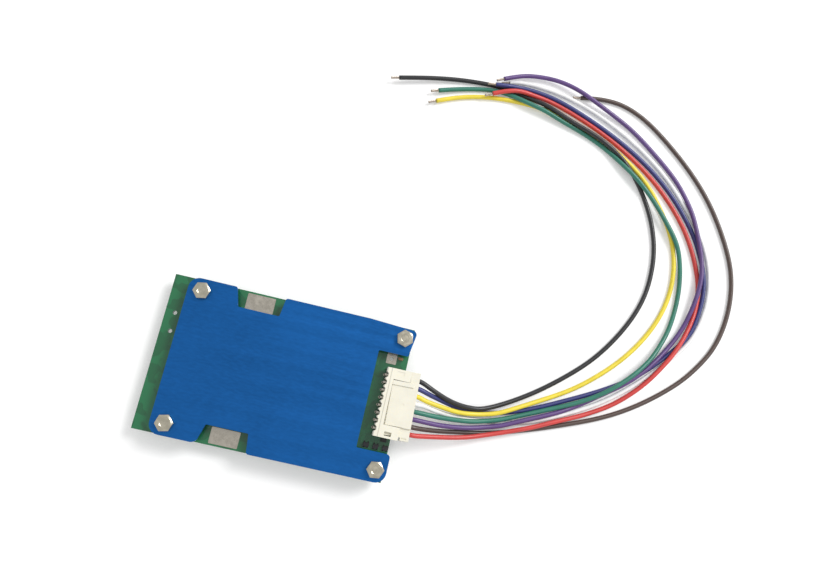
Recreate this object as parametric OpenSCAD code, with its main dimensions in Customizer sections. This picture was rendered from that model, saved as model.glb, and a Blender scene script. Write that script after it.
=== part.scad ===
// Battery management board. A circuit board carries its power transistors under a
// screwed-on heat plate, and a side-entry header holds the plug of the cell leads.
// +X runs towards the plug and +Z up. The origin is on the surface that the screw ends
// stand on, under the middle of the board and its plug. All sizes are in millimetres.

/* [Circuit board] */
// Length of the board
board_l = 81; // [78:1:100]
// Width of the board and of the heat plate
board_w = 51; // [48:1:65]
// Thickness of the board
board_t = 1.6; // [1:0.2:2.4]

/* [Heat plate] */
// Length of the plate
plate_l = 76; // [72:1:95]
// Thickness of the plate
plate_t = 1.5; // [1:0.1:2.5]
// Radius of the plate's outer corners
plate_corner_r = 3.5; // [1:0.5:4]
// How far the plate stands out past the board at the plug's end
plate_out = 0.8; // [0:0.1:2]
// Width of a pad notch at its floor
pad_notch_w = 13.6; // [11:0.2:16]
// Depth of a pad notch from the plate's side
pad_notch_d = 6.3; // [5:0.1:7]

/* [Screws] */
// Thread diameter of the four screws
screw_d = 2.5; // [2:0.1:3.2]
// Length of the screws under the head
screw_l = 10; // [9:0.5:14]
// Distance from the screws to the plate's side edges
screw_side = 4; // [3.5:0.1:5]
// Width of the heads and nuts across their flats
hex_w = 5; // [4.4:0.1:6]
// Height of the screw heads
head_h = 1.8; // [1:0.1:2]
// Height of the nuts
nut_h = 2; // [1.6:0.1:2.4]

/* [Power transistors] */
// Height of a power transistor over the board
transistor_h = 2.2; // [1.8:0.1:2.8]
// Thickness of the thermal pad between transistors and plate
thermal_pad_t = 0.3; // [0.2:0.1:1]

/* [Connector] */
// Distance between neighbouring contacts
pitch = 2.5; // [2.4:0.1:3]
// Height of the header over the board
header_h = 6; // [5.8:0.1:7.5]
// Length of the header from its rear to its mouth
header_l = 8.1; // [7.5:0.1:10]
// How far the seated plug stands out of the header
plug_out = 3.3; // [2.5:0.1:5]
// Angle that the seated plug is askew by, in degrees
plug_turn = 2; // [0:0.5:2]

/* [Leads] */
// Outer diameter of a lead
lead_d = 1.6; // [1.2:0.1:1.6]
// Length of the bare wire at a lead's end
strip_l = 3; // [2:0.5:6]

/* [Hidden] */
lead_names = ["black", "blue", "yellow", "white", "green", "purple", "brown", "red"];
lead_colors = ["#1e1e20", "#2d326e", "#ebd746", "#f0f0f0", "#2d7864", "#5a4178",
    "#50423e", "#c84641"];
ways = len(lead_names);
transistors = 6;
shunts = 2;
bleed_resistors = 7;
sense_capacitors = 4;
corner_transistors = 3;

$fn = 48;
cut = 0.1; // how far a cutter runs past the face that it opens

// Along X: board, plate, header and plug follow the board's right-hand end
header_out = 1.7;
overall_l = board_l + header_out + plug_out;
board_x0 = -overall_l / 2;
board_x1 = board_x0 + board_l;
header_x1 = board_x1 + header_out;
header_x0 = header_x1 - header_l;
plug_x1 = header_x1 + plug_out;
plate_x1 = board_x1 + plate_out;
plate_x0 = plate_x1 - plate_l;

// Along Z: the screw heads clamp the stack, and the screw ends stand at z = 0
plate_z1 = screw_l;
plate_z0 = plate_z1 - plate_t;
board_z1 = plate_z0 - thermal_pad_t - transistor_h;
board_z0 = board_z1 - board_t;
nut_z0 = board_z0 - nut_h;

// Screws
screw_left = 4.7;
screw_right = 3.8;
screw_y = board_w / 2 - screw_side;
screw_at = [
    [plate_x0 + screw_left, screw_y],
    [plate_x0 + screw_left, -screw_y],
    [plate_x1 - screw_right, screw_y],
    [plate_x1 - screw_right, -screw_y]];
head_turn = [11, 13, 43, 7];
screw_play = 0.1;
thread_play = 0.05;
thread_d = 0.25; // depth of the thread
core_r = screw_d / 2 - thread_d;
screw_tip = 0.4;
head_chamfer = 0.35;
dish_r = 1.4;
dish_d = 0.15;
spacer_wall = 1.2;

// Notches of the heat plate
pad_notch_x = plate_x0 + 23.8;
notch_flare_left = 1.8;
notch_flare_right = 0.8;
notch_floor_r = 0.5;
notch_mouth_r = 0.8;
worn_mouth_r = 2.2;
header_w = (ways - 1) * pitch + 4.9;
notch_side_gap = 4.8;
notch_back_gap = 4.1;
plug_notch_w = header_w + 2 * notch_side_gap;
plug_notch_x = header_x0 - notch_back_gap;
arm_taper = 1.4;
arm_r = 1.2;
worn_arm_l = 16; // the worn +Y arm slopes in over this length
worn_arm_drop = 0.8;
worn_arm_r = 1.4;

// Printed-side parts of the board
strip_hole_r = 0.7;
strip_holes = [[board_x0 + 3.1, 13], [board_x0 + 3.2, 6.9]];
pad_l = 9.3;
pad_w = 5.3;
pad_edge = 0.6;
pad_shift = -0.6;
tin_t = 0.1;
pad_r = 0.3;
test_pad_l = 3.4;
test_hole_r = 0.6;
test_pad_x = header_x0 + 0.9;
test_pad_y = header_w / 2 + 3.2;

// Header: positions are measured from its rear face and from the board's top
header_wall = 0.9;
header_rear_t = 1.9;
rear_band_l = 1.4;
rear_band_drop = 0.25;
rear_chamfer = 0.3;
slot_w = 1.1;
slot_mouth_w = 2.1;
slot_d = 0.7;
contact_h = 3.4;
window_x = 2.6;
window_y = [-3.35 * pitch + 1.3, 2.8 * pitch + 0.7];
port_x = 3.5;
port_l = 2.3;
port_w = 1.3;
port_y = header_w / 2 - 1.4;
port_blind_d = 0.12;

// Pins and their solder
pin_w = 0.64;
pin_row = -0.2;
pin_tip = header_l - 2.3;
pin_foot = 0.9;
pin_bend_r = 0.5;
pin_hole_r = 0.5;
solder_r = 0.95;
solder_top_r = 0.6;

// Plug: the body fills the header's cavity, the collar stands in front of it. Its length
// is measured from the header's rear face while it is straight and fully home
plug_play = 0.15;
plug_back_off = 0.4;
plug_pivot = 5;
plug_l = header_l + plug_out - plug_back_off;
plug_rear_t = 0.6;
collar_lift = 0.4;
land_gap = 0.28;
land_drop = 0.5;
rib_drop = 0.1;
rib_w = 1.4;
rib_out = 1.4;
ledge_drop = 1.2;
ledge_mark = [1.7, 0.5, 0.25];
land_mark_r = 0.6;
land_mark_d = 0.08;
port_play = 0.15;
channel_w = 1.9;
channel_h = 2.2;
terminal_l = 4;
terminal_w = 1.7;
terminal_h = 2;
barrel_r = 0.6;
lead_in = 2;

// Parts under the plate and in the plug's notch
transistor_body = [6.1, 6.6];
transistor_tab = [2.4, 5.3, 0.5];
transistor_leg = [2.2, 0.8, 0.5];
transistor_pitch = [11, 15];
transistor_x = plate_x0 + 21;
pad_margin = 1;
shunt_size = [6.4, 3.2, 0.7];
shunt_cap = 0.9;
shunt_x = plate_x0 + 40;
shunt_y = 9;
chip_body = [7.4, 10.3, 1.6];
chip_leg = [1.4, 0.35, 0.3];
chip_pitch = 1.27;
chip_legs = 8;
chip_x = plate_x0 + 52;
row_pitch = 2.6;
row_shift = -0.55;
row_x = plug_notch_x - 0.9;
small_part = [2, 1.25, 0.5];
small_cap = 0.35;
corner_part = [1.9, 1.3, 0.9];
corner_leg = [0.4, 2.1, 0.25];
corner_pitch = 3.2;
corner_x = header_x0 - 1.1;
corner_y = header_w / 2 + 3.3;
tiny_part = [1.6, 0.8, 0.6];
diode_size = [2, 1.1, 0.8];

// Leads: each route starts at the plug's face, [from the face, across, over the surface]
tip_r = 0.42;
lead_sides = 8;
rings_per_point = 2;
routes = [
    // black
    [[4, 7.5, 9.1], [9.5, 5.5, 7.6], [14.5, 4.5, 5.5], [19.5, 4.5, 3.6], [24, 5, 2.6],
    [33.5, 10, 1.1], [42.5, 16, 0.8], [51, 23, 0.8], [58.5, 30, 0.8], [65, 38.5, 0.8],
    [70.5, 48, 0.8], [74, 57.5, 0.8], [75, 67, 0.8], [74.5, 77, 0.8], [70.5, 89, 0.8],
    [63.5, 100, 0.8], [57.5, 105.5, 1.8], [51.5, 109, 2.5], [45, 112, 2.5], [38.5, 114, 2.5],
    [32, 116, 2.5], [25.5, 118.5, 2.6], [19.5, 120, 1.2], [14, 121, 0.8], [8, 122, 0.8],
    [-1.5, 121.5, 0.8],
    [-11, 120, 1.2], [-20.5, 117.5, 2], [-30.5, 114.5, 2.4]],
    // blue
    [[4, 5.5, 8.6], [9.5, 4.5, 6.2], [15, 3.5, 3.7], [20, 3.5, 1.8], [25, 4, 1],
    [35, 6.5, 0.8], [45, 11, 0.8], [55, 16, 0.8], [65.5, 21.5, 0.8], [77, 29, 0.8],
    [87.5, 40.5, 0.8], [92.5, 47, 0.8], [94.5, 54.5, 0.8], [95.5, 63, 0.8], [94.5, 71, 0.8],
    [91.5, 78, 0.8], [88.5, 84.5, 0.8], [79, 96.5, 0.8], [67.5, 106, 0.8], [54, 113.5, 0.8],
    [40.5, 119, 0.8], [26.5, 123.5, 0.8], [14, 123.5, 1.4], [8, 122, 2.6], [4.5, 121.5, 2.7]],
    // yellow
    [[3.5, 3, 9.1], [9.5, 2.5, 7.6], [14.5, 2, 5.5], [19.5, 2.5, 3.6], [24.5, 3.5, 2.6],
    [29.5, 5, 2.6], [34, 7.5, 2.4], [44, 13, 1], [53.5, 18.5, 0.8], [62, 25.5, 0.8],
    [70.5, 34, 0.8], [78, 45, 0.8], [82.5, 56.5, 0.8], [83.5, 68.5, 0.8], [81, 80.5, 0.8],
    [74, 92, 0.8], [65, 102.5, 0.8], [52, 110, 0.8], [38.5, 115, 0.8], [25.5, 118, 0.8],
    [14, 118, 0.8], [3, 117, 0.8], [-7.5, 114, 0.8], [-15.5, 110, 1.2]],
    // white
    [[3.5, 1.5, 8.6], [9.5, 0.5, 6.2], [15, 0.5, 3.7], [20.5, 1, 1.8], [25.5, 1.5, 1],
    [31, 2, 0.8], [42, 4.5, 0.8], [57, 12, 0.8], [67.5, 18.5, 0.8], [78.5, 28, 0.8],
    [89.5, 40, 0.8], [94, 46.5, 0.8], [96.5, 54.5, 0.8], [97.5, 63, 0.8], [96.5, 71.5, 0.8],
    [94, 79, 0.8], [90.5, 85.5, 0.8], [80.5, 98, 0.8], [69.5, 108, 0.8], [55.5, 116.5, 0.8],
    [41.5, 122.5, 0.8], [27, 126, 0.8], [14, 126, 0.8], [9.5, 124.5, 0.8]],
    // green
    [[3.5, -1, 9.1], [9, -1, 7.6], [14.5, -0.5, 5.5], [20, 0, 3.6], [25.5, 1.5, 2.6],
    [30.5, 3, 2.4], [40.5, 7.5, 1.5], [50.5, 12, 2.2], [55.5, 14.5, 2.5], [60, 17, 2.9],
    [65, 20.5, 3.8], [69.5, 24.5, 4.1], [74.5, 29.5, 3.8], [79.5, 36, 2.8], [82.5, 42.5, 1.6],
    [85, 49, 1], [86.5, 63, 0.8], [84, 75, 1.8], [81, 80.5, 2.6], [77, 85.5, 2.6],
    [72.5, 91, 2.5], [68, 95.5, 2.4], [62.5, 100, 2.8], [56.5, 104, 2.2], [51, 108, 1],
    [44.5, 111, 0.8], [38, 113, 1.2], [31.5, 114.5, 1.6], [25, 116.5, 2.4], [19, 117.5, 2.5],
    [13.5, 118.5, 2.6], [8.5, 120, 0.9], [3, 120, 0.8], [-8, 117, 0.9], [-15.5, 114, 1.6]],
    // purple
    [[3, -3.5, 9.1], [9, -3.5, 7.6], [14.5, -3, 5.5], [20.5, -2, 3.6], [26, -0.5, 2.6],
    [31, 1, 2.4], [36, 3.5, 2.5], [46, 8, 2.1], [51, 10.5, 1.7], [56, 13.5, 1],
    [61, 17, 1.2], [65.5, 20.5, 2.1], [70.5, 24, 2.5], [76, 29, 2.5], [81, 35, 2.1],
    [85.5, 41.5, 1.1], [89, 48, 1.2], [91, 55, 2], [92.5, 62.5, 2.6], [93, 70, 2.6],
    [91.5, 77.5, 2.5], [89, 84.5, 2.5], [86, 92, 2.5], [81.5, 99, 1.6], [77, 105, 0.9],
    [64, 115, 0.8], [57, 119.5, 0.8], [49.5, 122.5, 1.5], [42.5, 125, 2.5], [35.5, 128, 2.5],
    [27.5, 130, 1.8], [19.5, 129.5, 1.6], [13.5, 128, 2], [7, 124.5, 2.6]],
    // brown
    [[3, -6, 8.6], [9, -5.5, 6.2], [15, -4.5, 3.7], [21, -3.5, 1.8], [26.5, -2.5, 1],
    [32, -1, 0.8], [43, 2.5, 0.8], [53.5, 6.5, 0.8], [65, 11, 0.8], [77.5, 18, 0.8],
    [91, 29, 0.8], [97, 36.5, 0.8], [102, 44, 0.8], [105, 53.5, 0.8], [106, 63.5, 0.8],
    [105, 73, 0.8], [102, 82, 0.8], [93.5, 97.5, 0.8], [82, 110, 0.8], [68, 121, 0.8],
    [60, 125.5, 0.8], [52, 128, 0.8], [43.5, 127.5, 0.8], [37, 126, 0.8]],
    // red
    [[2.5, -8.5, 9.1], [8.5, -7.5, 7.6], [14.5, -6.5, 5.5], [21, -5, 3.6], [26.5, -3, 2.7],
    [32, -1, 2.5], [37, 1, 2.5], [42, 3, 2.4], [47, 5.5, 2.2], [52.5, 8, 1.8],
    [58, 10.5, 1.2], [63.5, 13.5, 0.9], [69, 17, 0.8], [74, 21.5, 1.5], [79, 27, 2.4],
    [83.5, 33.5, 2.6], [87.5, 40, 2.6], [90.5, 47, 2], [93, 55, 1.2], [93.5, 63, 0.8],
    [92, 70.5, 0.8], [86.5, 83.5, 0.8], [77, 95, 0.8], [66.5, 104, 0.8], [53, 112, 0.8],
    [39.5, 117.5, 0.8], [26, 121.5, 0.8], [19.5, 121.5, 1.6], [13.5, 121.5, 3.1],
    [8, 119.5, 3.3], [4, 117.5, 3]],
];

// ---- Outlines ----

function unit(v) = v / norm(v);

// Arc that rounds corner b = [x, y, radius] between its neighbours a and c
function corner_arc(a, b, c, steps) =
    let (
        p = [b.x, b.y],
        u = unit([a.x, a.y] - p),
        v = unit([c.x, c.y] - p),
        half = acos(u * v) / 2,
        middle = p + unit(u + v) * b.z / sin(half),
        from = p + u * b.z / tan(half) - middle,
        to = p + v * b.z / tan(half) - middle,
        start = atan2(from.y, from.x),
        turn = (atan2(to.y, to.x) - start + 540) % 360 - 180)
    b.z == 0 ? [p] : [for (k = [0 : steps])
        middle + b.z * [cos(start + turn * k / steps), sin(start + turn * k / steps)]];

// Closed outline through corners [x, y, radius]
function rounded(corners, steps = 6) =
    let (count = len(corners))
    [for (i = [0 : count - 1]) each corner_arc(
        corners[(i + count - 1) % count], corners[i], corners[(i + 1) % count], steps)];

function rectangle(x0, y0, x1, y1, r) = [[x0, y0, r], [x1, y0, r], [x1, y1, r], [x0, y1, r]];

function contact_y(i) = pitch * ((ways - 1) / 2 - i);

// ---- Circuit board ----

module circuit_board() color("seagreen")
    translate([0, 0, board_z0])
        difference() {
            translate([board_x0, -board_w / 2, 0])
                cube([board_l, board_w, board_t]);
            for (at = screw_at)
                board_hole(at, screw_d / 2 + screw_play);
            for (at = strip_holes)
                board_hole(at, strip_hole_r);
            for (i = [0 : ways - 1])
                board_hole([header_x0 + pin_row, contact_y(i)], pin_hole_r);
            board_hole([test_pad_x, test_pad_y], test_hole_r);
        }

module board_hole(at, r)
    translate([at.x, at.y, -cut])
        cylinder(r = r, h = board_t + 2 * cut);

// Tinned copper between two corners on the board's top
module tinned(x0, y0, x1, y1)
    translate([0, 0, board_z1])
        linear_extrude(tin_t)
            polygon(rounded(rectangle(x0, y0, x1, y1, pad_r), 4));

module solder_pad(side) color("silver") {
    middle = pad_notch_x + pad_shift;
    outer = board_w / 2 - pad_edge;
    mirror([0, side > 0 ? 0 : 1, 0])
        tinned(middle - pad_l / 2, outer - pad_w, middle + pad_l / 2, outer);
}

module battery_pad() solder_pad(1);

module pack_pad() solder_pad(-1);

module test_pad() color("silver")
    difference() {
        tinned(test_pad_x - test_pad_l / 2, test_pad_y - test_pad_l / 2,
            test_pad_x + test_pad_l / 2, test_pad_y + test_pad_l / 2);
        translate([test_pad_x, test_pad_y, board_z1 - cut])
            cylinder(r = test_hole_r, h = tin_t + 2 * cut);
    }

// ---- Heat plate and what clamps it ----

// Corners of the pad notch on one side, from left to right as seen from that side's floor
function pad_notch(side, left_r) = let (
        x0 = pad_notch_x - pad_notch_w / 2,
        x1 = pad_notch_x + pad_notch_w / 2,
        mouth = side * board_w / 2,
        floor = mouth - side * pad_notch_d)
    [[x0 - notch_flare_left, mouth, left_r], [x0, floor, notch_floor_r],
    [x1, floor, notch_floor_r], [x1 + notch_flare_right, mouth, notch_mouth_r]];

function reversed(list) = [for (i = [len(list) - 1 : -1 : 0]) list[i]];

module heat_plate() color("royalblue") {
    side = board_w / 2;
    half_notch = plug_notch_w / 2;
    outline = concat(
        [[plate_x0, -side, plate_corner_r]],
        pad_notch(-1, worn_mouth_r),
        [[plate_x1, -side, plate_corner_r], [plate_x1, -half_notch, arm_r],
        [plug_notch_x, -half_notch, notch_floor_r], [plug_notch_x, half_notch, notch_floor_r],
        [plate_x1 - arm_taper, half_notch, notch_floor_r],
        [plate_x1, side - worn_arm_drop, worn_arm_r], [plate_x1 - worn_arm_l, side, worn_arm_l]],
        reversed(pad_notch(1, notch_mouth_r)),
        [[plate_x0, side, plate_corner_r]]);
    translate([0, 0, plate_z0])
        difference() {
            linear_extrude(plate_t)
                polygon(rounded(outline));
            for (at = screw_at)
                translate([at.x, at.y, -cut])
                    cylinder(r = screw_d / 2 + screw_play, h = plate_t + 2 * cut);
        }
}

module plate_screws() color("silver")
    for (i = [0 : len(screw_at) - 1])
        translate(screw_at[i])
            rotate(head_turn[i])
                screw();

// Head with a turned crown and a shallow dish, over a shank with a bevelled end. The
// thread's outside is drawn below the nut, and its core inside the pieces it holds
module screw() {
    corner_r = hex_w / sqrt(3);
    translate([0, 0, plate_z1])
        intersection() {
            cylinder(r = corner_r, h = head_h, $fn = 6);
            rotate_extrude()
                polygon([[0, 0], [corner_r, 0], [corner_r, head_h - head_chamfer],
                    [corner_r - 2 * head_chamfer, head_h], [dish_r, head_h],
                    [dish_r - 2 * dish_d, head_h - dish_d], [0, head_h - dish_d]]);
        }
    rotate_extrude()
        polygon([[0, 0], [screw_d / 2 - screw_tip, 0], [screw_d / 2, screw_tip],
            [screw_d / 2, nut_z0], [core_r, nut_z0], [core_r, screw_l], [0, screw_l]]);
}

module board_nuts() color("silver")
    for (at = screw_at)
        translate([at.x, at.y, nut_z0])
            difference() {
                cylinder(r = hex_w / sqrt(3), h = nut_h, $fn = 6);
                translate([0, 0, -cut])
                    cylinder(r = core_r + thread_play, h = nut_h + 2 * cut);
            }

module plate_spacers() color("gainsboro")
    for (at = screw_at)
        translate([at.x, at.y, board_z1])
            difference() {
                cylinder(r = screw_d / 2 + screw_play + spacer_wall, h = plate_z0 - board_z1);
                translate([0, 0, -cut])
                    cylinder(r = screw_d / 2 + screw_play, h = plate_z0 - board_z1 + 2 * cut);
            }

module thermal_pad() color("lightgray") {
    half_x = transistor_pitch.x + transistor_body.x / 2 + pad_margin;
    half_y = transistor_pitch.y / 2 + transistor_body.y / 2 + pad_margin;
    translate([transistor_x - half_x, -half_y, board_z1 + transistor_h])
        cube([2 * half_x, 2 * half_y, thermal_pad_t]);
}

// ---- Parts soldered to the board ----

// Transistor whose tab points outwards: three along the plate on each side of its middle
module power_transistor(i) color("dimgray") {
    column = floor(i / 2) - 1;
    side = i % 2 == 0 ? 1 : -1;
    translate([transistor_x + column * transistor_pitch.x, side * transistor_pitch.y / 2, board_z1])
        rotate(side * 90) {
            translate([-transistor_body.x / 2, -transistor_body.y / 2, 0])
                cube([transistor_body.x, transistor_body.y, transistor_h]);
            translate([transistor_body.x / 2, -transistor_tab.y / 2, 0])
                cube(transistor_tab);
            for (leg = [-1, 1])
                translate([-transistor_body.x / 2 - transistor_leg.x,
                    leg * 2.3 - transistor_leg.y / 2, 0])
                    cube(transistor_leg);
        }
}

// Block with a thicker end cap at each end, standing on the board
module capped_block(size, cap, rise) {
    translate([-size.x / 2, -size.y / 2, 0])
        cube([size.x, size.y, size.z - rise]);
    for (end = [-1, 1])
        translate([end * (size.x - cap) / 2 - cap / 2, -size.y / 2, 0])
            cube([cap, size.y, size.z]);
}

module current_shunt(i) color("slategray")
    translate([shunt_x, (i == 0 ? 1 : -1) * shunt_y, board_z1])
        capped_block(shunt_size, shunt_cap, 0.1);

module control_chip() color("dimgray")
    translate([chip_x, 0, board_z1]) {
        translate([-chip_body.x / 2, -chip_body.y / 2, chip_leg.z / 2])
            cube(chip_body);
        for (side = [-1, 1])
            for (k = [0 : chip_legs - 1])
                translate([side * (chip_body.x + chip_leg.x) / 2 - chip_leg.x / 2,
                    (k - (chip_legs - 1) / 2) * chip_pitch - chip_leg.y / 2, 0])
                    cube(chip_leg);
    }

// Place k of the row of small parts behind the header, under the plate's edge
module in_row(k)
    translate([row_x, row_shift + (5 - k) * row_pitch, board_z1])
        capped_block(small_part, small_cap, 0.05);

module bleed_resistor(i) color("black") in_row(i);

module sense_capacitor(i) color("tan") in_row(bleed_resistors + i);

module corner_transistor(i) color("dimgray")
    translate([corner_x + i * corner_pitch, -corner_y, board_z1]) {
        translate([-corner_part.x / 2, -corner_part.y / 2, corner_leg.z / 2])
            cube(corner_part);
        for (end = [-1, 1])
            translate([end * 0.6 - corner_leg.x / 2, -corner_leg.y / 2, 0])
                cube(corner_leg);
    }

module corner_capacitor() color("tan")
    translate([test_pad_x + 2.9, test_pad_y + 0.6, board_z1])
        capped_block(tiny_part, small_cap, 0.05);

module corner_diode() color("dimgray")
    translate([header_x0 + 4.2, -header_w / 2 - 0.9, board_z1])
        capped_block(diode_size, small_cap, 0.2);

// ---- Header and plug ----

// Local frame of the connector: x from the header's rear, z from the board's top
module at_header()
    translate([header_x0, 0, board_z1])
        children();

// Where the askew plug holds point x along it and y across it, in the header's frame
function in_plug(x, y) = [
    plug_pivot + plug_back_off + (x - plug_pivot) * cos(plug_turn) - y * sin(plug_turn),
    (x - plug_pivot) * sin(plug_turn) + y * cos(plug_turn)];

module at_plug()
    at_header()
        translate(in_plug(0, 0))
            rotate(plug_turn)
                children();

module header_shell() color("ivory")
    at_header()
        difference() {
            rotate([90, 0, 0])
                linear_extrude(header_w, center = true)
                    polygon([[0, 0], [header_l, 0], [header_l, header_h],
                        [rear_band_l + rear_band_drop, header_h],
                        [rear_band_l, header_h - rear_band_drop],
                        [rear_chamfer, header_h - rear_band_drop],
                        [0, header_h - rear_band_drop - rear_chamfer]]);
            for (i = [0 : ways - 1])
                translate([0, contact_y(i), -cut])
                    linear_extrude(header_h + 2 * cut)
                        rear_slot();
            for (i = [0 : ways - 1])
                translate([0, contact_y(i) - pin_w / 2, contact_h - pin_w / 2])
                    cube([header_rear_t + cut, pin_w, pin_w]);
            translate([header_rear_t, -header_w / 2 + header_wall, header_wall])
                cube([header_l, header_w - 2 * header_wall, header_h - 2 * header_wall]);
            translate([window_x, window_y[0], header_h / 2])
                cube([header_l, window_y[1] - window_y[0], header_h]);
            translate([port_x, -port_y - port_w / 2, header_h / 2])
                cube([port_l, port_w, header_h]);
            translate([port_x, port_y - port_w / 2, header_h - port_blind_d])
                cube([port_l, port_w, header_h]);
        }

// Slot in the header's rear that narrows inwards, so a pointed tooth stays on each side
module rear_slot()
    polygon([[-cut, -slot_mouth_w / 2], [0, -slot_mouth_w / 2], [slot_d, -slot_w / 2],
        [slot_d, slot_w / 2], [0, slot_mouth_w / 2], [-cut, slot_mouth_w / 2]]);

module header_pins() color("gainsboro")
    at_header()
        for (i = [0 : ways - 1])
            translate([0, contact_y(i) + pin_w / 2, 0])
                rotate([90, 0, 0])
                    linear_extrude(pin_w)
                        pin_outline();

module pin_outline() {
    back = pin_row - pin_w / 2;
    front = pin_row + pin_w / 2;
    low = -board_t - pin_foot;
    under = contact_h - pin_w / 2;
    over = contact_h + pin_w / 2;
    polygon(rounded([[back, low, 0], [front, low, 0], [front, under, 0],
        [pin_tip, under, 0.1], [pin_tip, over, 0.1], [back, over, pin_bend_r]], 5));
}

// Fills the plated hole round each pin and ends in a cone under the board
module solder_joints() color("silver")
    at_header()
        for (i = [0 : ways - 1])
            translate([pin_row, contact_y(i), -board_t])
                difference() {
                    rotate_extrude()
                        polygon([[0, -pin_foot], [pin_w / 2, -pin_foot], [solder_top_r, -pin_foot / 2],
                            [solder_r, 0], [pin_hole_r, 0], [pin_hole_r, board_t], [0, board_t]]);
                    translate([-pin_w / 2, -pin_w / 2, -pin_foot - cut])
                        cube([pin_w, pin_w, board_t + pin_foot + 2 * cut]);
                }

module plug_housing() color("floralwhite")
    at_plug()
        difference() {
            union() {
                plug_body();
                plug_land();
                plug_collar();
            }
            for (i = [0 : ways - 1])
                translate([0, contact_y(i), contact_h]) {
                    translate([header_rear_t + plug_rear_t, -channel_w / 2, -channel_h / 2])
                        cube([plug_l, channel_w, channel_h]);
                    translate([0, -pin_w / 2 - port_play, -pin_w / 2 - port_play])
                        cube([header_l, pin_w + 2 * port_play, pin_w + 2 * port_play]);
                }
            translate([header_l - 1.2, 0, header_h - land_drop - land_mark_d])
                cylinder(r = land_mark_r, h = header_h);
            translate([header_l + 0.4, -header_w / 2 + 0.5, header_h - ledge_drop - ledge_mark.z])
                cube([ledge_mark.x, ledge_mark.y, header_h]);
        }

module plug_body()
    translate([header_rear_t + plug_play, -header_w / 2 + header_wall + plug_play,
        header_wall])
        cube([header_l - header_rear_t - plug_play, header_w - 2 * (header_wall + plug_play),
            header_h - 2 * header_wall - plug_play]);

// Flat land in the header's window, with a rib along its +Y edge
module plug_land() {
    x0 = window_x + land_gap - plug_back_off;
    y0 = window_y[0] + plug_play;
    y1 = window_y[1] - plug_play;
    translate([x0, y0, header_h / 2])
        cube([header_l - x0 + cut, y1 - y0, header_h / 2 - land_drop]);
    translate([x0, y1 - rib_w, header_h / 2])
        cube([header_l - x0 + rib_out, rib_w, header_h / 2 - rib_drop]);
}

// Collar against the header's mouth: full height over the land, lower beside it
module plug_collar() {
    side = header_w / 2;
    translate([header_l, 0, 0])
        rotate([90, 0, 90])
            linear_extrude(plug_l - header_l)
                polygon(rounded([[-side, collar_lift, 0.3], [side, collar_lift, 0.3],
                    [side, header_h - land_drop, 0.3],
                    [window_y[0], header_h - land_drop, 0.1],
                    [window_y[0], header_h - ledge_drop, 0],
                    [-side, header_h - ledge_drop, 0.3]], 4));
}

// Box round each pin, then a barrel on the wire, up to the lead's end
module crimp_terminals() color("gold")
    at_plug()
        for (i = [0 : ways - 1])
            translate([header_rear_t + plug_rear_t, contact_y(i), contact_h])
                difference() {
                    union() {
                        translate([0, -terminal_w / 2, -channel_h / 2])
                            cube([terminal_l, terminal_w, terminal_h]);
                        rotate([0, 90, 0])
                            cylinder(r = barrel_r, h = plug_l - lead_in - header_rear_t
                                - plug_rear_t);
                    }
                    translate([-cut, -terminal_w / 2 + 0.3, -pin_w / 2])
                        cube([pin_tip - header_rear_t - plug_rear_t + cut + 0.1,
                            terminal_w - 0.6, pin_w]);
                }

// ---- Leads ----

exit_h = board_z1 + contact_h;

// Straight out of the plug first: three points along the plug's own direction
function lead_route(i) = concat(
    [for (x = [-lead_in, -0.5, 1])
        let (at = in_plug(plug_l + x, contact_y(i)))
        [at.x - header_l - plug_out, at.y, exit_h]],
    routes[i]);

// Point on the smooth curve over four neighbouring route points, t from 0 to 1
function blend(a, b, c, d, t) = (pow(1 - t, 3) * a + (3 * pow(t, 3) - 6 * t * t + 4) * b
    + (-3 * pow(t, 3) + 3 * t * t + 3 * t + 1) * c + pow(t, 3) * d) / 6;

// Middle of each ring of a lead, from inside the plug to the lead's far end
function lead_line(i) =
    let (
        route = lead_route(i),
        last = len(route) - 1,
        p = concat([2 * route[0] - route[1]], route, [2 * route[last] - route[last - 1]]))
    [for (k = [0 : last * rings_per_point])
        let (
            span = min(floor(k / rings_per_point), last - 1),
            t = k / rings_per_point - span)
        [plug_x1, 0, 0] + blend(p[span], p[span + 1], p[span + 2], p[span + 3], t)];

function heading(line, k) =
    let (last = len(line) - 1)
    k == 0 ? unit(line[1] - line[0])
    : k == last ? unit(line[last] - line[last - 1])
    : unit(line[k + 1] - line[k - 1]);

// One ring of points square to the line, with a flat at the bottom
function lead_ring(line, k) =
    let (
        along = heading(line, k),
        across = unit(cross(along, [0, 0, 1])),
        up = cross(across, along))
    [for (s = [0 : lead_sides - 1])
        let (a = (s + 0.5) * 360 / lead_sides)
        line[k] + lead_d / 2 * (cos(a) * across + sin(a) * up)];

module lead(i) color(lead_colors[i]) {
    line = lead_line(i);
    rings = len(line);
    points = [for (k = [0 : rings - 1]) each lead_ring(line, k)];
    walls = [for (k = [0 : rings - 2])
        for (s = [0 : lead_sides - 1])
            let (
                here = k * lead_sides,
                next = (s + 1) % lead_sides)
            each [
                [here + s, here + next, here + lead_sides + s],
                [here + next, here + lead_sides + next, here + lead_sides + s]]];
    near_end = [for (s = [lead_sides - 1 : -1 : 0]) s];
    far_end = [for (s = [0 : lead_sides - 1]) (rings - 1) * lead_sides + s];
    polyhedron(points, concat([near_end], walls, [far_end]));
}

// Bare strands past the far end of a lead
module tip(i) color("silver") {
    line = lead_line(i);
    last = len(line) - 1;
    along = heading(line, last);
    translate(line[last])
        rotate([0, acos(along.z), atan2(along.y, along.x)])
            cylinder(r = tip_r, h = strip_l);
}

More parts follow.
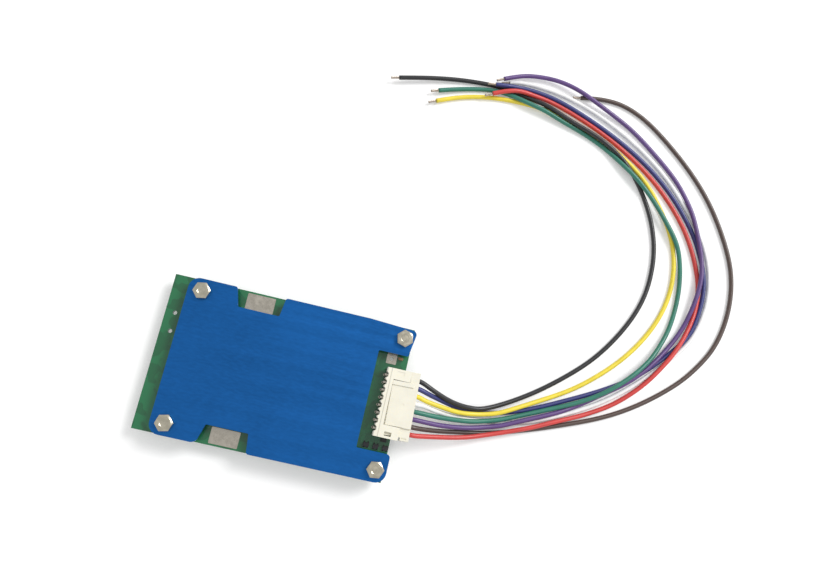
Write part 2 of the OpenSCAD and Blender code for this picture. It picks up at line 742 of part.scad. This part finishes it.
circuit_board();
battery_pad();
pack_pad();
test_pad();
heat_plate();
thermal_pad();
plate_spacers();
plate_screws();
board_nuts();
control_chip();
corner_capacitor();
corner_diode();
header_shell();
header_pins();
solder_joints();
plug_housing();
crimp_terminals();
for (i = [0 : transistors - 1])
    power_transistor(i);
for (i = [0 : shunts - 1])
    current_shunt(i);
for (i = [0 : bleed_resistors - 1])
    bleed_resistor(i);
for (i = [0 : sense_capacitors - 1])
    sense_capacitor(i);
for (i = [0 : corner_transistors - 1])
    corner_transistor(i);
for (i = [0 : ways - 1])
    lead(i);
for (i = [0 : ways - 1])
    tip(i);
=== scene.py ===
"""Looks of the battery management board: finishes, leads, floor and light."""
import math

import bpy
from mathutils import Matrix, Vector


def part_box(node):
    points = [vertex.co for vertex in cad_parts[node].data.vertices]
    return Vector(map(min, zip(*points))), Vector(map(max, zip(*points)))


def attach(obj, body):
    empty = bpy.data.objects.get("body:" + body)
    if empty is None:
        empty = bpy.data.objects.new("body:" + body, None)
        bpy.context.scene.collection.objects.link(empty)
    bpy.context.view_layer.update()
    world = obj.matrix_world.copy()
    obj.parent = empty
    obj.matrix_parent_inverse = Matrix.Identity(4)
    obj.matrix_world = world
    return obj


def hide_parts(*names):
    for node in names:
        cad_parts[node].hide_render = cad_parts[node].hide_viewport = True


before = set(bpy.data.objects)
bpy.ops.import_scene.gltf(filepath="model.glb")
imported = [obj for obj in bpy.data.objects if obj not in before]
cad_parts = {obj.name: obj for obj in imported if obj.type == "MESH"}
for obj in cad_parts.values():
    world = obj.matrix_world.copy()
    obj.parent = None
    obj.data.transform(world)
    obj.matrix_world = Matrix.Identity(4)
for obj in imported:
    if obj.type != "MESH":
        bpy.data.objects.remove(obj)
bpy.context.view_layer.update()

MM = 0.001


def node_box(name):
    """Lowest and highest corner of a CAD node, in millimetres."""
    low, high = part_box(name)
    return Vector(low) / MM, Vector(high) / MM


# ---- Camera, in millimetres ----

CAMERA_AT = (18.0, -6.66, 248.38)
CAMERA_RIGHT = (0.96926, 0.21745, 0.11511)
CAMERA_UP = (-0.23466, 0.95765, 0.16685)
FOCAL_LENGTH = 31.167
SENSOR_WIDTH = 36
CLIP_START = 0.01


def make_camera():
    data = bpy.data.cameras.new("camera")
    data.sensor_width = SENSOR_WIDTH
    data.lens = FOCAL_LENGTH
    data.clip_start = CLIP_START
    camera = bpy.data.objects.new("camera", data)
    right, up = Vector(CAMERA_RIGHT).normalized(), Vector(CAMERA_UP).normalized()
    back = right.cross(up)
    turn = Matrix((right, up, back)).transposed().to_4x4()
    camera.matrix_world = Matrix.Translation(Vector(CAMERA_AT) * MM) @ turn
    bpy.context.collection.objects.link(camera)
    bpy.context.scene.camera = camera


make_camera()


# ---- Materials ----

class Shader:
    """A material built node by node round one Principled shader."""

    def __init__(self, name, **sockets):
        self.material = bpy.data.materials.new(name)
        self.material.use_nodes = True
        self.nodes = self.material.node_tree.nodes
        self.links = self.material.node_tree.links
        self.surface = self.nodes["Principled BSDF"]
        for socket, value in sockets.items():
            self.surface.inputs[socket.replace("_", " ")].default_value = value
        self.place = self.add("ShaderNodeTexCoord").outputs["Object"]

    def add(self, kind, inputs=(), **settings):
        node = self.nodes.new(kind)
        for name, value in settings.items():
            setattr(node, name, value)
        for name, value in dict(inputs).items():
            if isinstance(value, bpy.types.NodeSocket):
                self.links.new(value, node.inputs[name])
            else:
                node.inputs[name].default_value = value
        return node

    def stretched(self, scale, turn):
        """Object coordinates, scaled along each axis and turned about Z."""
        node = self.add("ShaderNodeMapping", {"Vector": self.place, "Scale": scale,
                                              "Rotation": (0, 0, turn)})
        return node.outputs["Vector"]

    def noise(self, scale, detail, place=None):
        node = self.add("ShaderNodeTexNoise", {
            "Vector": place or self.place, "Scale": scale, "Detail": detail})
        return node.outputs["Fac"]

    def remap(self, value, low, high, to_low, to_high):
        node = self.add("ShaderNodeMapRange", {
            "Value": value, "From Min": low, "From Max": high,
            "To Min": to_low, "To Max": to_high})
        return node.outputs["Result"]

    def math(self, operation, a, b):
        node = self.add("ShaderNodeMath", {0: a, 1: b}, operation=operation)
        return node.outputs[0]

    def mix(self, factor, a, b):
        node = self.add("ShaderNodeMix", {0: factor, 6: a, 7: b}, data_type="RGBA")
        return node.outputs[2]

    def drive(self, socket, value):
        self.links.new(value, self.surface.inputs[socket])

    def bump(self, height, depth):
        """Adds to the bumps that are there already. Depth is in millimetres."""
        before = self.surface.inputs["Normal"].links
        inputs = {"Height": height, "Distance": depth * MM, "Strength": 1}
        if before:
            inputs["Normal"] = before[0].from_socket
        self.drive("Normal", self.add("ShaderNodeBump", inputs).outputs["Normal"])


def srgb(red, green, blue):
    """Linear colour of a screen colour given from 0 to 255."""
    def linear(value):
        value /= 255
        return value / 12.92 if value <= 0.04045 else ((value + 0.055) / 1.055) ** 2.4
    return (linear(red), linear(green), linear(blue), 1)


def shade(color, factor):
    return tuple(min(1, part * factor) for part in color[:3]) + (1,)


def anodised():
    base = srgb(26, 92, 160)
    look = Shader("blue_anodised", Metallic=0.9, Roughness=0.34)
    patches = look.noise(60, 2)
    grain = look.noise(1400, 2, look.stretched((0.35, 1, 1), 0.2))
    tone = look.mix(look.remap(patches, 0.3, 0.7, 0, 1), shade(base, 0.92), shade(base, 1.1))
    bright = look.remap(grain, 0.35, 0.75, 0, 0.5)
    look.drive("Base Color", look.mix(bright, tone, shade(base, 1.35)))
    scratches = look.noise(260, 1, look.stretched((0.06, 1.6, 1), 0.9))
    look.drive("Roughness", look.remap(scratches, 0.35, 0.7, 0.28, 0.42))
    look.bump(grain, 0.012)
    look.bump(scratches, 0.01)
    return look.material


def solder_mask():
    base = srgb(16, 104, 62)
    look = Shader("solder_mask", Roughness=0.3, Coat_Weight=0.4, Coat_Roughness=0.12)
    copper = look.remap(look.noise(220, 1, look.stretched((1, 1, 1), 0.6)), 0.48, 0.52, 0, 1)
    look.drive("Base Color", look.mix(copper, shade(base, 0.72), base))
    look.bump(look.noise(900, 3), 0.01)
    look.bump(copper, 0.03)
    return look.material


def metal(name, color, roughness, lump=0.02, scale=500):
    look = Shader(name, Metallic=1.0)
    wear = look.noise(scale, 4)
    bright = look.remap(wear, 0.35, 0.7, 0, 1)
    look.drive("Base Color", look.mix(bright, shade(color, 0.82), color))
    look.drive("Roughness", look.remap(wear, 0.3, 0.7, roughness * 0.75, roughness * 1.3))
    look.bump(wear, lump)
    return look.material


GLOW_REACH = (0.6 * MM, 0.5 * MM, 0.35 * MM)


def plastic(name, color, roughness=0.42, glow=0.1):
    look = Shader(name, Subsurface_Weight=glow, Subsurface_Radius=GLOW_REACH,
                  Subsurface_Scale=1.0, IOR=1.5)
    cloud = look.noise(300, 3)
    fine = look.noise(5000, 2)
    bright = look.remap(cloud, 0.35, 0.7, 0, 1)
    look.drive("Base Color", look.mix(bright, shade(color, 0.95), color))
    look.drive("Roughness", look.remap(fine, 0.3, 0.7, roughness * 0.85, roughness * 1.15))
    look.bump(fine, 0.004)
    return look.material


def insulation(name, color):
    look = Shader(name, IOR=1.5, Coat_Weight=0.15, Coat_Roughness=0.2)
    handling = look.noise(250, 3)
    fine = look.noise(3500, 2)
    bright = look.remap(handling, 0.35, 0.7, 0, 1)
    look.drive("Base Color", look.mix(bright, shade(color, 0.88), color))
    look.drive("Roughness", look.remap(handling, 0.3, 0.7, 0.34, 0.5))
    look.bump(fine, 0.006)
    look.bump(handling, 0.05)
    return look.material


def finish_nodes(material, *names):
    """Gives CAD nodes one material in place of their own."""
    for name in names:
        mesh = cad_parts[name].data
        mesh.materials.clear()
        mesh.materials.append(material)


def nodes_like(start):
    return [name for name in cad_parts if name.startswith(start)]


STEEL = srgb(196, 190, 172)
TIN = srgb(190, 184, 172)
WIRE = srgb(196, 184, 172)
BRASS = srgb(200, 186, 140)
IVORY = srgb(232, 228, 212)
CHIP = srgb(34, 34, 36)
CAPACITOR = srgb(150, 116, 84)
THERMAL_PAD = srgb(150, 154, 160)
LEAD_COLORS = {
    "black": srgb(30, 30, 33), "blue": srgb(48, 54, 118), "yellow": srgb(236, 214, 62),
    "white": srgb(240, 240, 240), "green": srgb(42, 118, 100), "purple": srgb(92, 64, 124),
    "brown": srgb(78, 62, 56), "red": srgb(204, 62, 58)}


# ---- Leads, in millimetres ----

LEAD_R = 0.8
LEAD_SIDES = 20
LEAD_STEPS = 14  # rings for each route point
STRAIGHT_EXIT = (-2, -0.5, 1)  # route points along the plug, past its face
PIN_W = 0.64
PITCH = 2.5
PLUG_OUT = 3.3
PLUG_BACK_OFF = 0.4
PLUG_PIVOT = 5
PLUG_TURN = math.radians(2)
# Each route starts at the plug's face: (from the face, across, over the surface)
ROUTES = {
    "black": [
        (4, 7.5, 9.1), (9.5, 5.5, 7.6), (14.5, 4.5, 5.5), (19.5, 4.5, 3.6), (24, 5, 2.6),
        (33.5, 10, 1.1), (42.5, 16, 0.8), (51, 23, 0.8), (58.5, 30, 0.8), (65, 38.5, 0.8),
        (70.5, 48, 0.8), (74, 57.5, 0.8), (75, 67, 0.8), (74.5, 77, 0.8), (70.5, 89, 0.8),
        (63.5, 100, 0.8), (57.5, 105.5, 1.8), (51.5, 109, 2.5), (45, 112, 2.5), (38.5, 114, 2.5),
        (32, 116, 2.5), (25.5, 118.5, 2.6), (19.5, 120, 1.2), (14, 121, 0.8), (8, 122, 0.8),
        (-1.5, 121.5, 0.8), (-11, 120, 1.2), (-20.5, 117.5, 2), (-30.5, 114.5, 2.4)],
    "blue": [
        (4, 5.5, 8.6), (9.5, 4.5, 6.2), (15, 3.5, 3.7), (20, 3.5, 1.8), (25, 4, 1),
        (35, 6.5, 0.8), (45, 11, 0.8), (55, 16, 0.8), (65.5, 21.5, 0.8), (77, 29, 0.8),
        (87.5, 40.5, 0.8), (92.5, 47, 0.8), (94.5, 54.5, 0.8), (95.5, 63, 0.8), (94.5, 71, 0.8),
        (91.5, 78, 0.8), (88.5, 84.5, 0.8), (79, 96.5, 0.8), (67.5, 106, 0.8), (54, 113.5, 0.8),
        (40.5, 119, 0.8), (26.5, 123.5, 0.8), (14, 123.5, 1.4), (8, 122, 2.6), (4.5, 121.5, 2.7)],
    "yellow": [
        (3.5, 3, 9.1), (9.5, 2.5, 7.6), (14.5, 2, 5.5), (19.5, 2.5, 3.6), (24.5, 3.5, 2.6),
        (29.5, 5, 2.6), (34, 7.5, 2.4), (44, 13, 1), (53.5, 18.5, 0.8), (62, 25.5, 0.8),
        (70.5, 34, 0.8), (78, 45, 0.8), (82.5, 56.5, 0.8), (83.5, 68.5, 0.8), (81, 80.5, 0.8),
        (74, 92, 0.8), (65, 102.5, 0.8), (52, 110, 0.8), (38.5, 115, 0.8), (25.5, 118, 0.8),
        (14, 118, 0.8), (3, 117, 0.8), (-7.5, 114, 0.8), (-15.5, 110, 1.2)],
    "white": [
        (3.5, 1.5, 8.6), (9.5, 0.5, 6.2), (15, 0.5, 3.7), (20.5, 1, 1.8), (25.5, 1.5, 1),
        (31, 2, 0.8), (42, 4.5, 0.8), (57, 12, 0.8), (67.5, 18.5, 0.8), (78.5, 28, 0.8),
        (89.5, 40, 0.8), (94, 46.5, 0.8), (96.5, 54.5, 0.8), (97.5, 63, 0.8), (96.5, 71.5, 0.8),
        (94, 79, 0.8), (90.5, 85.5, 0.8), (80.5, 98, 0.8), (69.5, 108, 0.8), (55.5, 116.5, 0.8),
        (41.5, 122.5, 0.8), (27, 126, 0.8), (14, 126, 0.8), (9.5, 124.5, 0.8)],
    "green": [
        (3.5, -1, 9.1), (9, -1, 7.6), (14.5, -0.5, 5.5), (20, 0, 3.6), (25.5, 1.5, 2.6),
        (30.5, 3, 2.4), (40.5, 7.5, 1.5), (50.5, 12, 2.2), (55.5, 14.5, 2.5), (60, 17, 2.9),
        (65, 20.5, 3.8), (69.5, 24.5, 4.1), (74.5, 29.5, 3.8), (79.5, 36, 2.8), (82.5, 42.5, 1.6),
        (85, 49, 1), (86.5, 63, 0.8), (84, 75, 1.8), (81, 80.5, 2.6), (77, 85.5, 2.6),
        (72.5, 91, 2.5), (68, 95.5, 2.4), (62.5, 100, 2.8), (56.5, 104, 2.2), (51, 108, 1),
        (44.5, 111, 0.8), (38, 113, 1.2), (31.5, 114.5, 1.6), (25, 116.5, 2.4), (19, 117.5, 2.5),
        (13.5, 118.5, 2.6), (8.5, 120, 0.9), (3, 120, 0.8), (-8, 117, 0.9), (-15.5, 114, 1.6)],
    "purple": [
        (3, -3.5, 9.1), (9, -3.5, 7.6), (14.5, -3, 5.5), (20.5, -2, 3.6), (26, -0.5, 2.6),
        (31, 1, 2.4), (36, 3.5, 2.5), (46, 8, 2.1), (51, 10.5, 1.7), (56, 13.5, 1),
        (61, 17, 1.2), (65.5, 20.5, 2.1), (70.5, 24, 2.5), (76, 29, 2.5), (81, 35, 2.1),
        (85.5, 41.5, 1.1), (89, 48, 1.2), (91, 55, 2), (92.5, 62.5, 2.6), (93, 70, 2.6),
        (91.5, 77.5, 2.5), (89, 84.5, 2.5), (86, 92, 2.5), (81.5, 99, 1.6), (77, 105, 0.9),
        (64, 115, 0.8), (57, 119.5, 0.8), (49.5, 122.5, 1.5), (42.5, 125, 2.5), (35.5, 128, 2.5),
        (27.5, 130, 1.8), (19.5, 129.5, 1.6), (13.5, 128, 2), (7, 124.5, 2.6)],
    "brown": [
        (3, -6, 8.6), (9, -5.5, 6.2), (15, -4.5, 3.7), (21, -3.5, 1.8), (26.5, -2.5, 1),
        (32, -1, 0.8), (43, 2.5, 0.8), (53.5, 6.5, 0.8), (65, 11, 0.8), (77.5, 18, 0.8),
        (91, 29, 0.8), (97, 36.5, 0.8), (102, 44, 0.8), (105, 53.5, 0.8), (106, 63.5, 0.8),
        (105, 73, 0.8), (102, 82, 0.8), (93.5, 97.5, 0.8), (82, 110, 0.8), (68, 121, 0.8),
        (60, 125.5, 0.8), (52, 128, 0.8), (43.5, 127.5, 0.8), (37, 126, 0.8)],
    "red": [
        (2.5, -8.5, 9.1), (8.5, -7.5, 7.6), (14.5, -6.5, 5.5), (21, -5, 3.6), (26.5, -3, 2.7),
        (32, -1, 2.5), (37, 1, 2.5), (42, 3, 2.4), (47, 5.5, 2.2), (52.5, 8, 1.8),
        (58, 10.5, 1.2), (63.5, 13.5, 0.9), (69, 17, 0.8), (74, 21.5, 1.5), (79, 27, 2.4),
        (83.5, 33.5, 2.6), (87.5, 40, 2.6), (90.5, 47, 2), (93, 55, 1.2), (93.5, 63, 0.8),
        (92, 70.5, 0.8), (86.5, 83.5, 0.8), (77, 95, 0.8), (66.5, 104, 0.8), (53, 112, 0.8),
        (39.5, 117.5, 0.8), (26, 121.5, 0.8), (19.5, 121.5, 1.6), (13.5, 121.5, 3.1),
        (8, 119.5, 3.3), (4, 117.5, 3)],
}


def blend(a, b, c, d, t):
    """Point on the smooth curve over four neighbouring route points."""
    return ((1 - t) ** 3 * a + (3 * t ** 3 - 6 * t * t + 4) * b
            + (-3 * t ** 3 + 3 * t * t + 3 * t + 1) * c + t ** 3 * d) / 6


def in_plug(past_face, across, height):
    """A point that moves with the askew plug, by its place past the plug's face."""
    rear, mouth = (corner.x for corner in node_box("header_shell"))
    reach = mouth - rear + PLUG_OUT - PLUG_BACK_OFF + past_face - PLUG_PIVOT
    return Vector((
        rear + PLUG_PIVOT + PLUG_BACK_OFF + reach * math.cos(PLUG_TURN)
        - across * math.sin(PLUG_TURN),
        reach * math.sin(PLUG_TURN) + across * math.cos(PLUG_TURN),
        height))


def lead_line(across, height, route):
    """Points from inside the plug to the lead's far end."""
    face = Vector((node_box("header_shell")[1].x + PLUG_OUT, 0, 0))
    points = [in_plug(past, across, height) for past in STRAIGHT_EXIT]
    points += [face + Vector(point) for point in route]
    points = [2 * points[0] - points[1]] + points + [2 * points[-1] - points[-2]]
    line = []
    for four in zip(points, points[1:], points[2:], points[3:]):
        line += [blend(*four, step / LEAD_STEPS) for step in range(LEAD_STEPS)]
    return line + [points[-2]]


def ring(centre, along, radius, sides):
    """Points of one ring square to the line."""
    across = along.cross(Vector((0, 0, 1))).normalized()
    up = across.cross(along)
    angles = [2 * math.pi * (side + 0.5) / sides for side in range(sides)]
    return [centre + radius * (math.cos(a) * across + math.sin(a) * up) for a in angles]


def link_mesh(name, points, faces, material):
    """A smooth piece that rides on the board."""
    mesh = bpy.data.meshes.new(name)
    mesh.from_pydata([tuple(point * MM) for point in points], [], faces)
    mesh.validate()
    mesh.materials.append(material)
    mesh.polygons.foreach_set("use_smooth", [True] * len(mesh.polygons))
    piece = bpy.data.objects.new(name, mesh)
    bpy.context.collection.objects.link(piece)
    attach(piece, "root")
    return piece


def headings(line):
    """The line's direction at each of its points."""
    ahead = [b - a for a, b in zip(line, line[1:])]
    both = [ahead[0]] + [a + b for a, b in zip(ahead, ahead[1:])] + [ahead[-1]]
    return [step.normalized() for step in both]


def tube_shape(line, radius, sides, first=0):
    """Points and faces of a closed tube along a line."""
    points, faces = [], []
    for centre, along in zip(line, headings(line)):
        points += ring(centre, along, radius, sides)
    for k in range(len(line) - 1):
        for side in range(sides):
            here, next_side = first + k * sides, (side + 1) % sides
            faces.append((here + side, here + sides + side,
                          here + sides + next_side, here + next_side))
    faces.append(tuple(first + side for side in range(sides)))
    last = first + (len(line) - 1) * sides
    faces.append(tuple(last + side for side in reversed(range(sides))))
    return points, faces


STRANDS = 7
STRAND_R = 0.16
STRAND_SIDES = 8
STRAND_STEPS = 12
STRIP_LENGTH = 3.0
TWIST_PITCH = 5.0
UNEVEN_ENDS = 0.03
LIE_CLOSE = 0.97
PINCHED = 0.12


def strand_line(end, along, index):
    """One of the bare strands: the first runs straight, the rest wind round it."""
    across = along.cross(Vector((0, 0, 1))).normalized()
    up = across.cross(along)
    line = []
    for step in range(STRAND_STEPS + 1):
        far = step / STRAND_STEPS
        reach = far * STRIP_LENGTH * (1 - UNEVEN_ENDS * (index % 3))
        turn = 2 * math.pi * (index / (STRANDS - 1) + reach / TWIST_PITCH)
        close = LIE_CLOSE - PINCHED * math.sin(math.pi * far)
        off = 0 if index == 0 else 2 * STRAND_R * close
        line.append(end + along * reach + off * (math.cos(turn) * across + math.sin(turn) * up))
    return line


def joined(shapes):
    """Points and faces of several shapes in one mesh; each shape is made by a function."""
    points, faces = [], []
    for make in shapes:
        more_points, more_faces = make(len(points))
        points += more_points
        faces += more_faces
    return points, faces


def make_leads():
    height = node_box("header_pins")[1].z - PIN_W / 2
    bare = metal("bare_wire", WIRE, 0.35, lump=0.01, scale=2500)
    for index, (color, route) in enumerate(ROUTES.items()):
        across = PITCH * ((len(ROUTES) - 1) / 2 - index)
        line = lead_line(across, height, route)
        along = headings(line)[-1]
        points, faces = tube_shape(line, LEAD_R, LEAD_SIDES)
        lead = link_mesh("insulated_" + color, points, faces,
                         insulation("pvc_" + color, LEAD_COLORS[color]))
        points, faces = joined([
            lambda first, i=i: tube_shape(strand_line(line[-1], along, i), STRAND_R,
                                          STRAND_SIDES, first) for i in range(STRANDS)])
        strands = link_mesh("strands_" + color, points, faces, bare)
        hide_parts("lead_" + color)
        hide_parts("tip_" + color)


make_leads()


# ---- Finish of the CAD nodes ----

SHARP = math.radians(40)


def soften(name, width, segments=2):
    """Rounds the sharp edges of a CAD node by a bevel, its width in millimetres."""
    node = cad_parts[name]
    bevel = node.modifiers.new("softened", "BEVEL")
    bevel.width = width * MM
    bevel.segments = segments
    bevel.limit_method = "ANGLE"
    bevel.angle_limit = SHARP
    bevel.harden_normals = False


def finish_frame():
    steel = metal("screw_steel", STEEL, 0.3, lump=0.03, scale=700)
    tin = metal("tin", TIN, 0.3, lump=0.06, scale=900)
    ivory = plastic("header_ivory", IVORY)
    plug = plastic("plug_ivory", shade(IVORY, 0.97))
    chip = plastic("chip_black", CHIP, 0.5, 0)
    finish_nodes(anodised(), "heat_plate")
    finish_nodes(solder_mask(), "circuit_board")
    finish_nodes(steel, "plate_screws", "board_nuts", "plate_spacers")
    finish_nodes(tin, "battery_pad", "pack_pad", "test_pad", "solder_joints", "header_pins")
    finish_nodes(ivory, "header_shell")
    finish_nodes(plug, "plug_housing")
    finish_nodes(chip, "control_chip", "corner_diode", *nodes_like("power_transistor"),
                 *nodes_like("corner_transistor"), *nodes_like("bleed_resistor"),
                 *nodes_like("current_shunt"))
    finish_nodes(plastic("capacitor", CAPACITOR, 0.45, 0), "corner_capacitor",
                 *nodes_like("sense_capacitor"))
    finish_nodes(plastic("thermal_pad", THERMAL_PAD, 0.7, 0), "thermal_pad")
    finish_nodes(metal("terminal_brass", BRASS, 0.3), "crimp_terminals")
    soften("heat_plate", 0.18)
    soften("plate_screws", 0.15)
    soften("board_nuts", 0.12)
    soften("header_shell", 0.1)
    soften("plug_housing", 0.1)
    soften("circuit_board", 0.05, 1)


finish_frame()


# ---- Floor and light, in metres ----

FLOOR_HALF = 2.0
FLOOR_COLOR = (0.8, 0.8, 0.8, 1)
FLOOR_LIFT = 0.22  # light that only the camera, gloss and glass see
WORLD_STRENGTH = 0.75
WINDOW_AT = (0.9, 0.9, 1.3)
WINDOW_TARGET = (0.03, 0.03, 0)
WINDOW_SIZE = 0.7
WINDOW_POWER = 22


def make_floor():
    mesh = bpy.data.meshes.new("floor")
    half = FLOOR_HALF
    mesh.from_pydata([(-half, -half, 0), (half, -half, 0), (half, half, 0), (-half, half, 0)],
                     [], [(0, 1, 2, 3)])
    floor = bpy.data.objects.new("floor", mesh)
    bpy.context.collection.objects.link(floor)
    look = Shader("floor", Roughness=0.9)
    look.surface.inputs["Base Color"].default_value = FLOOR_COLOR
    path = look.add("ShaderNodeLightPath")
    seen = look.math("MAXIMUM", path.outputs["Is Camera Ray"],
                     look.math("MAXIMUM", path.outputs["Is Glossy Ray"],
                               path.outputs["Is Transmission Ray"]))
    lift = look.add("ShaderNodeEmission", {
        "Strength": look.math("MULTIPLY", seen, FLOOR_LIFT)})
    both = look.add("ShaderNodeAddShader", {0: look.surface.outputs[0], 1: lift.outputs[0]})
    look.links.new(both.outputs[0], look.nodes["Material Output"].inputs["Surface"])
    mesh.materials.append(look.material)


def make_window():
    data = bpy.data.lights.new("window", "AREA")
    data.size = WINDOW_SIZE
    data.energy = WINDOW_POWER
    lamp = bpy.data.objects.new("window", data)
    lamp.location = WINDOW_AT
    ray = Vector(WINDOW_TARGET) - Vector(WINDOW_AT)
    lamp.rotation_euler = ray.to_track_quat("-Z", "Y").to_euler()
    bpy.context.collection.objects.link(lamp)


def make_world():
    world = bpy.data.worlds.new("studio")
    bpy.context.scene.world = world
    world.use_nodes = True
    sky = world.node_tree.nodes["Background"]
    sky.inputs["Color"].default_value = (1, 1, 1, 1)
    sky.inputs["Strength"].default_value = WORLD_STRENGTH


make_floor()
make_world()
make_window()
bpy.context.scene.view_settings.view_transform = "Standard"
